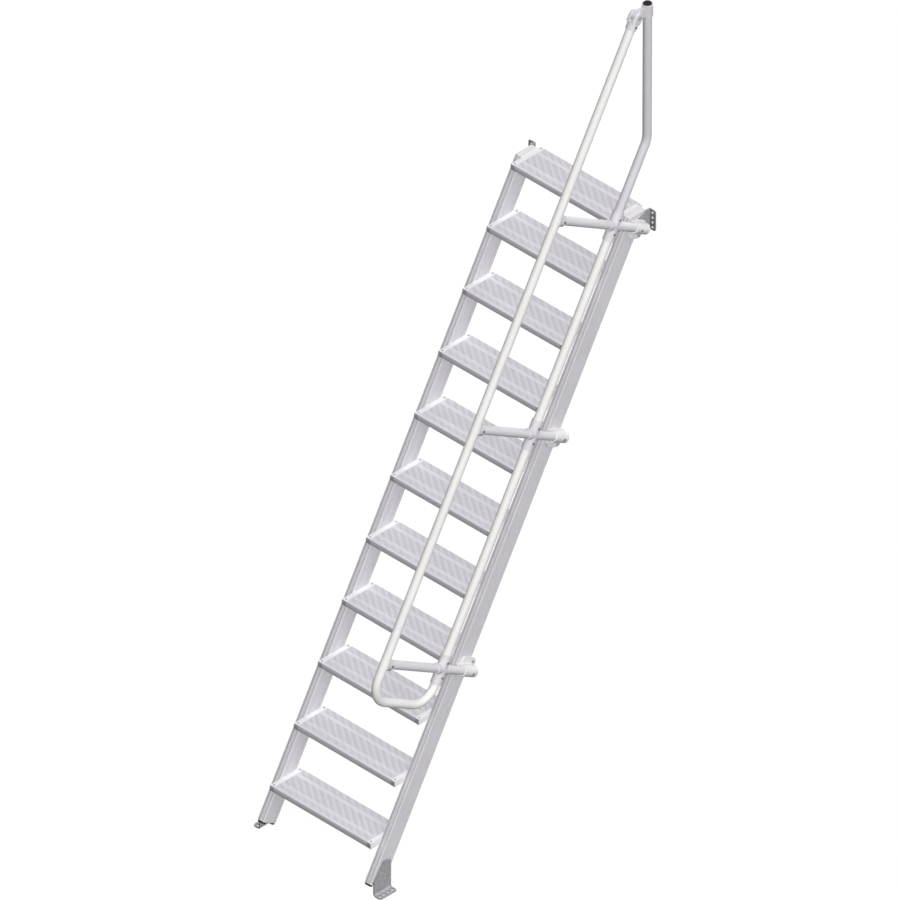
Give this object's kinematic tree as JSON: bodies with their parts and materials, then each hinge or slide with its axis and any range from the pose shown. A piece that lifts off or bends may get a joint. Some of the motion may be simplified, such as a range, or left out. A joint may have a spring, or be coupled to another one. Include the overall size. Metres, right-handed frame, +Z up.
{
  "type": "aluminium stair",
  "caption": "Steep open-tread aluminium stair with extruded stringers, ribbed hollow treads, bolt-down foot and landing brackets, and a tube handrail with knee rail on its right side.",
  "frame": {"origin": "underside of the left foot flange, in the middle of its row of bolt holes", "axes": "+X to the right when climbing, +Y the way the climber walks, +Z up"},
  "size_m": [0.7775, 1.682, 3.8291],
  "materials": {
    "stringer_profile": "satin anodised extrusion",
    "tread_profile": "ribbed mill-finish extrusion",
    "pale_casting": "smooth pale casting",
    "bright_tube": "bright smooth tube",
    "grey_tube": "satin tube",
    "grey_casting": "fine-blasted casting",
    "galvanised_steel": "galvanised",
    "black_plastic": "moulded"
  },
  "bodies": {
    "root": {"cross_fitting_bottom": "grey_casting", "cross_fitting_middle": "grey_casting", "cross_fitting_top": "grey_casting", "handrail": "bright_tube", "handrail_socket": "grey_casting", "knee_rail": "bright_tube", "left_foot_bracket": "galvanised_steel", "left_stringer": "stringer_profile", "left_stringer_plugs": "black_plastic", "left_stringer_top_cap": "pale_casting", "left_top_bracket": "galvanised_steel", "left_tread_end_caps": "pale_casting", "post_cap": "black_plastic", "post_collar": "grey_casting", "right_foot_bracket": "galvanised_steel", "right_stringer": "stringer_profile", "right_stringer_plugs": "black_plastic", "right_stringer_top_cap": "pale_casting", "right_top_bracket": "galvanised_steel", "right_tread_end_caps": "pale_casting", "stringer_clamp_bottom": "pale_casting", "stringer_clamp_middle": "pale_casting", "stringer_clamp_top": "pale_casting", "support_bottom": "grey_tube", "support_middle": "grey_tube", "support_top": "grey_tube", "tee_saddle_bottom": "grey_casting", "tee_saddle_middle": "grey_casting", "tee_saddle_top": "grey_casting", "tread_01": "tread_profile", "tread_02": "tread_profile", "tread_03": "tread_profile", "tread_04": "tread_profile", "tread_05": "tread_profile", "tread_06": "tread_profile", "tread_07": "tread_profile", "tread_08": "tread_profile", "tread_09": "tread_profile", "tread_10": "tread_profile", "tread_11": "tread_profile", "upper_post": "grey_tube"}
  },
  "joints": []
}
